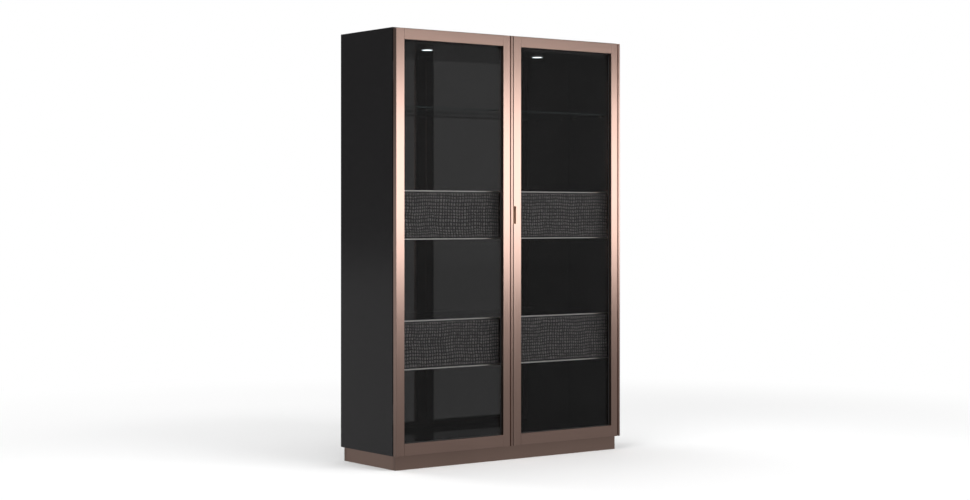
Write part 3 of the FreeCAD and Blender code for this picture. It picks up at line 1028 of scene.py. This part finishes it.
    def _close_back(self) -> None:
        """Wraps the leather round the board's edges and closes its back."""
        border = self._border()
        ring = [vert for vert, _, _ in border]
        for vert in ring:
            vert.co.y = self.low.y + self.relief
            # Painted shade: the border takes the creases' dark colour.
            vert[self.top] = self.border_shade
        for step in range(1, self.wrap_steps + 1):
            angle = 0.5 * math.pi * step / self.wrap_steps
            out = self.wrap * math.sin(angle)
            y = self.low.y + self.relief + self.wrap * (1.0 - math.cos(angle))
            ring = self._band(border, ring, out, y)
        ring = self._band(border, ring, self.wrap, self.high.y)
        self.mesh.faces.new(ring)

    def _border(self) -> list[tuple[bmesh.types.BMVert, int, int]]:
        """Walks round the border.

        Returns:
            The border's points in order, each with its way out along X and along Z.
        """
        last_i = max(i for i, _ in self.corner)
        last_j = max(j for _, j in self.corner)
        path = [(i, 0) for i in range(last_i)] + [(last_i, j) for j in range(last_j)]
        path += [(i, last_j) for i in range(last_i, 0, -1)] + [(0, j) for j in range(last_j, 0, -1)]
        border = []
        for index, cell in enumerate(path):
            after = path[(index + 1) % len(path)]
            ways = [self._way(spot, last_i, last_j) for spot in (cell, after)]
            border.append((self.corner[cell], *ways[0]))
            shared = [first if first == second else 0 for first, second in zip(*ways)]
            border.append((self._middle(cell, after), *shared))
        return border

    @staticmethod
    def _way(cell: Cell, last_i: int, last_j: int) -> tuple[int, int]:
        """Which way is out at a border crossing, as -1, 0 or 1 along X and along Z."""
        i, j = cell
        return (i == last_i) - (i == 0), (j == last_j) - (j == 0)

    def _band(self, border: list[tuple[bmesh.types.BMVert, int, int]],
              inner: list[bmesh.types.BMVert], out: float, y: float) -> list[bmesh.types.BMVert]:
        """Adds a ring round the border and joins it to the one before.

        Args:
            border: The border's points and their ways out.
            inner: The ring before.
            out: How far out of the border the new ring lies.
            y: Its depth.

        Returns:
            The new ring.
        """
        ring = []
        for vert, way_x, way_z in border:
            spot = (vert.co.x + out * way_x, y, vert.co.z + out * way_z)
            ring.append(self.mesh.verts.new(spot))
            # Painted shade: the wrapped edges take the creases' dark colour.
            ring[-1][self.top] = self.wrap_shade
        for index in range(len(ring)):
            after = (index + 1) % len(ring)
            self.mesh.faces.new((inner[index], inner[after], ring[after], ring[index]))
        return ring


# ---------------------------------------------------------------------------------------------------
# Sub-assemblies


@dataclass
class Carcass:
    """The lacquered case, its gloss lining, plinth, rear panel and cable gland."""

    edge: float = 0.8 * MM
    screw_pitch: float = 0.3
    screw_inset: float = 0.014

    def build(self) -> None:
        """Dresses the case and adds the rear panel's screws."""
        case = ("left_side_panel", "right_side_panel", "top_panel")
        dress(case, BLACK_LACQUER)
        dress(("back_lining", "bottom_panel"), GLOSS_LINING)
        soften((*case, "bottom_panel"), self.edge)
        plinth = ("plinth_front", "plinth_back", "plinth_left", "plinth_right")
        dress(plinth, BRONZE_PLINTH)
        soften(plinth, self.edge)
        dress(("rear_panel",), REAR_BOARD)
        dress(("cable_gland",), RUBBER)
        self._add_rear_screws()

    def _add_rear_screws(self) -> None:
        """A row of screws along each edge of the rear panel."""
        low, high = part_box("rear_panel")
        screws = ScrewHeads()
        for x in (low.x + self.screw_inset, high.x - self.screw_inset):
            for z in self._pitches(low.z + self.screw_inset, high.z - self.screw_inset):
                screws.add(Vector((x, high.y, z)), Vector((0, 1, 0)), Vector((1, 0, 0)))
        for z in (low.z + self.screw_inset, high.z - self.screw_inset):
            for x in self._pitches(low.x + self.screw_inset, high.x - self.screw_inset)[1:-1]:
                screws.add(Vector((x, high.y, z)), Vector((0, 1, 0)), Vector((1, 0, 0)))
        screws.finish("rear_panel_screws", "cabinet")

    def _pitches(self, start: float, end: float) -> list[float]:
        """Evenly spaced places, about one pitch apart."""
        count = max(1, round((end - start) / self.screw_pitch))
        return [start + (end - start) * index / count for index in range(count + 1)]


@dataclass
class LightBox:
    """The light box under the top, with two recessed spotlights."""

    strength: float = 3.5
    glow: Colour = (0.86, 0.95, 1.0)
    driver_edge: float = 1.5 * MM

    def build(self) -> None:
        """Dresses the light box and lights its lenses."""
        dress(("light_box_fascia", "false_ceiling"), BLACK_LACQUER)
        dress(("spotlight_housings",), LAMP_STEEL)
        dress(("lamp_driver",), PLASTIC)
        soften(("lamp_driver",), self.driver_edge)
        low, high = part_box("spotlight_lenses")
        radius = (high.y - low.y) / 2.0
        lens = LitLens("lit_lens", self.glow, self.strength,
                       spacing=(high.x - low.x) - 2.0 * radius, depth=(high.y + low.y) / 2.0,
                       radius=radius)
        dress(("spotlight_lenses",), lens)


@dataclass
class Door:
    """One framed glass door with its glazing bead, hinge leaves and strike."""

    hand: Hand

    def build(self) -> None:
        """Dresses the door's CAD pieces and adds its bead."""
        prefix = f"{self.hand.value}_door"
        dress((f"{prefix}_left_stile", f"{prefix}_right_stile"), BRONZE_UPRIGHT)
        dress((f"{prefix}_top_rail", f"{prefix}_bottom_rail"), BRONZE_ACROSS)
        dress((f"{prefix}_glass",), DOOR_GLASS)
        dress((f"{prefix}_hinge_leaves",), DARK_STEEL)
        dress((f"{prefix}_strike",), STEEL)
        if self.hand is Hand.RIGHT:
            dress(("finger_pull",), PULL_METAL)
        GlazingBead(self.hand).build()

    def frame_names(self) -> list[str]:
        """The CAD nodes of the door's metal frame."""
        prefix = f"{self.hand.value}_door"
        members = ("left_stile", "right_stile", "top_rail", "bottom_rail")
        return [f"{prefix}_{member}" for member in members]


@dataclass
class Hardware:
    """Hinges, pins, catches, shelf and shelf pins."""

    shelf_edge: float = 0.6 * MM

    def build(self) -> None:
        """Dresses the steel pieces and the glass shelf."""
        dress(("side_hinge_leaves", "hinge_pins", "shelf_pins"), DARK_STEEL)
        dress(("magnetic_catches",), STEEL)
        dress(("glass_shelf",), SHELF_GLASS)
        soften(("glass_shelf",), self.shelf_edge)


@dataclass
class DrawerCase:
    """A case of two boards and a divider, with metal trims in front and runners inside."""

    level: Level
    trim_edge: float = 0.5 * MM

    def build(self) -> None:
        """Dresses the case."""
        prefix = f"{self.level.value}_case"
        dress((f"{prefix}_top", f"{prefix}_bottom"), GLOSS_LINING)
        dress((f"{prefix}_divider",), BLACK_LACQUER)
        trims = (f"{prefix}_top_trim", f"{prefix}_bottom_trim")
        dress(trims, CHAMPAGNE)
        soften(trims, self.trim_edge)
        dress((f"{prefix}_runners",), STEEL)


@dataclass
class Drawer:
    """One drawer: an embossed front on an open wooden box with slides."""

    hand: Hand
    level: Level
    box_edge: float = 0.8 * MM

    def build(self) -> None:
        """Dresses the box and slides and builds the embossed front."""
        prefix = f"{self.hand.value}_{self.level.value}_drawer"
        dress((f"{prefix}_box",), DRAWER_WOOD)
        soften((f"{prefix}_box",), self.box_edge)
        dress((f"{prefix}_slides",), STEEL)
        EmbossedFront(self.hand, self.level).build()


# ---------------------------------------------------------------------------------------------------
# Studio


@dataclass(frozen=True)
class SoftLamp:
    """A soft area lamp that points at a spot."""

    name: str
    place: Vector
    target: Vector
    wide: float
    tall: float
    power: float

    def build(self) -> bpy.types.Object:
        """Makes the lamp.

        Returns:
            The lamp's object.
        """
        data = bpy.data.lights.new(self.name, "AREA")
        data.shape = "RECTANGLE"
        data.size = self.wide
        data.size_y = self.tall
        data.energy = self.power
        lamp = bpy.data.objects.new(self.name, data)
        lamp.location = self.place
        lamp.rotation_euler = (self.target - self.place).to_track_quat("-Z", "Y").to_euler()
        lamp.visible_camera = False
        bpy.context.scene.collection.objects.link(lamp)
        return lamp


@dataclass
class Studio:
    """Pale floor and surroundings, soft lamps and the camera."""

    eye: Vector = Vector((-5.257, -7.041, 1.1464))
    turn: float = 0.642
    lens: float = 67.8
    sensor: float = 36.0
    sight: float = 100.0
    rise: float = -0.0346
    floor_size: float = 60.0
    fade_start: float = 1.6
    fade_end: float = 4.5
    ambient: float = 0.5
    floor_low: Colour = (0.9, 0.9, 0.9)
    floor_high: Colour = (0.94, 0.94, 0.94)
    speckle_scale: float = 240.0
    mirrored_floor: float = 0.4
    mirrored_walls: float = 0.12
    mirrored_front: float = 0.33
    mirrored_corner: float = 0.06
    mirrored_sky: float = 0.12

    def build(self, metal: Sequence[str]) -> None:
        """Builds the whole studio.

        Args:
            metal: The metal CAD nodes that have two lamps of their own.
        """
        self._camera()
        self._floor()
        self._world()
        self._lamps(metal)
        bpy.context.scene.view_settings.view_transform = "Standard"

    def _camera(self) -> None:
        """A level camera, with the horizon above the middle of the picture."""
        data = bpy.data.cameras.new("camera")
        data.lens = self.lens
        data.sensor_width = self.sensor
        data.shift_y = self.rise
        data.clip_end = self.sight
        camera = bpy.data.objects.new("camera", data)
        camera.location = self.eye
        camera.rotation_euler = (math.pi / 2.0, 0.0, -self.turn)
        bpy.context.scene.collection.objects.link(camera)
        bpy.context.scene.camera = camera

    def _floor(self) -> None:
        """A pale floor that takes the cabinet's shadow and melts into the surroundings."""
        mesh = bmesh.new()
        bmesh.ops.create_grid(mesh, x_segments=1, y_segments=1, size=self.floor_size / 2.0)
        data = bpy.data.meshes.new("floor")
        mesh.to_mesh(data)
        mesh.free()
        floor = bpy.data.objects.new("floor", data)
        bpy.context.scene.collection.objects.link(floor)
        material = bpy.data.materials.new("pale_floor")
        material.use_nodes = True
        graph = Graph(material.node_tree)
        x, y, _ = graph.axes(graph.place())
        reach = (x * x + y * y) ** 0.5
        far = reach.step(self.fade_start, self.fade_end)
        speckle = graph.noise(self.speckle_scale, detail=2.0)
        pale = graph.mix(speckle, self.floor_low, self.floor_high)
        plain = graph.add("ShaderNodeBsdfPrincipled",
                          inputs={"Base Color": pale, "Roughness": 0.9, "Specular IOR Level": 0.0})
        white = graph.add("ShaderNodeEmission", inputs={"Color": (1.0, 1.0, 1.0)})
        is_eye = graph.add("ShaderNodeLightPath", result="Is Camera Ray")
        is_gloss = graph.add("ShaderNodeLightPath", result="Is Glossy Ray")
        seen = graph.add("ShaderNodeMixShader", inputs={0: far * is_eye, 1: plain, 2: white})
        grey = graph.add("ShaderNodeEmission", inputs={"Color": (self.mirrored_floor,) * 3})
        graph.finish(graph.add("ShaderNodeMixShader", inputs={0: is_gloss, 1: seen, 2: grey}))
        data.materials.append(material)

    def _world(self) -> None:
        """White to the eye and through glass, and a grey studio, brighter in front, to gloss."""
        world = bpy.data.worlds.new("studio")
        world.use_nodes = True
        bpy.context.scene.world = world
        graph = Graph(world.node_tree)
        x, y, z = graph.axes(graph.add("ShaderNodeTexCoord", result="Generated"))
        backdrop = (-1.0 * y).step(0.2, 0.7)
        behind = (0.6 * y - 0.8 * x).step(0.1, 0.9)
        low_glow = z.step(0.12, -0.12)
        sky = z.step(0.25, 0.9)
        level_part = self.mirrored_walls + self.mirrored_front * backdrop
        gloss = level_part + self.mirrored_corner * behind * low_glow + self.mirrored_sky * sky
        is_gloss = graph.add("ShaderNodeLightPath", result="Is Glossy Ray")
        is_eye = graph.add("ShaderNodeLightPath", result="Is Camera Ray")
        is_through = graph.add("ShaderNodeLightPath", result="Is Transmission Ray")
        soft = is_gloss * gloss + (1.0 - is_gloss) * self.ambient
        seen = is_eye.math("MAXIMUM", is_eye, is_through)
        level = seen + (1.0 - seen) * soft
        white = {"Color": (1.0, 1.0, 1.0), "Strength": level}
        graph.finish(graph.add("ShaderNodeBackground", inputs=white), "ShaderNodeOutputWorld")

    def _lamps(self, metal: Sequence[str]) -> None:
        """High soft lamps on all sides, and a strip and an edge lamp for some metal only.

        Args:
            metal: The CAD nodes that the last two lamps light.
        """
        aim = Vector((0.0, 0.0, 0.9))
        high_lamps = (
            SoftLamp("key", Vector((1.1, -3.7, 4.9)), aim, wide=3.0, tall=2.2, power=150.0),
            SoftLamp("fill", Vector((-3.6, -2.2, 4.7)), aim, wide=2.8, tall=2.2, power=70.0),
            SoftLamp("rear", Vector((-1.0, 3.9, 4.8)), aim, wide=3.0, tall=2.2, power=100.0),
            SoftLamp("top", Vector((0.0, 0.0, 5.6)), aim, wide=3.0, tall=3.0, power=40.0),
        )
        for lamp in high_lamps:
            lamp.build()
        facing = Vector((0.8, -0.75, 1.36))
        door_edge = Vector((-0.66, 0.0, 0.6))
        metal_lamps = (
            SoftLamp("strip", Vector((0.8, -1.75, 1.36)), facing, wide=3.4, tall=1.05, power=63.0),
            SoftLamp("edge", Vector((-3.0, 2.8, 0.3)), door_edge, wide=2.6, tall=2.6, power=15.0),
        )
        receivers = bpy.data.collections.new("metal_frames")
        for name in metal:
            receivers.objects.link(bpy.data.objects[name])
        for lamp in metal_lamps:
            lamp.build().light_linking.receiver_collection = receivers


def main() -> None:
    """Builds the looks of every sub-assembly around the frame."""
    logging.basicConfig(level=logging.INFO, format="%(name)s %(message)s")
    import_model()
    doors = [Door(hand) for hand in Hand]
    frames = [name for door in doors for name in door.frame_names()]
    Studio().build([*frames, "finger_pull", "plinth_left"])
    Carcass().build()
    LightBox().build()
    for door in doors:
        door.build()
    Hardware().build()
    for level in Level:
        DrawerCase(level).build()
        for hand in Hand:
            Drawer(hand, level).build()


if __name__ == "__main__":
    main()
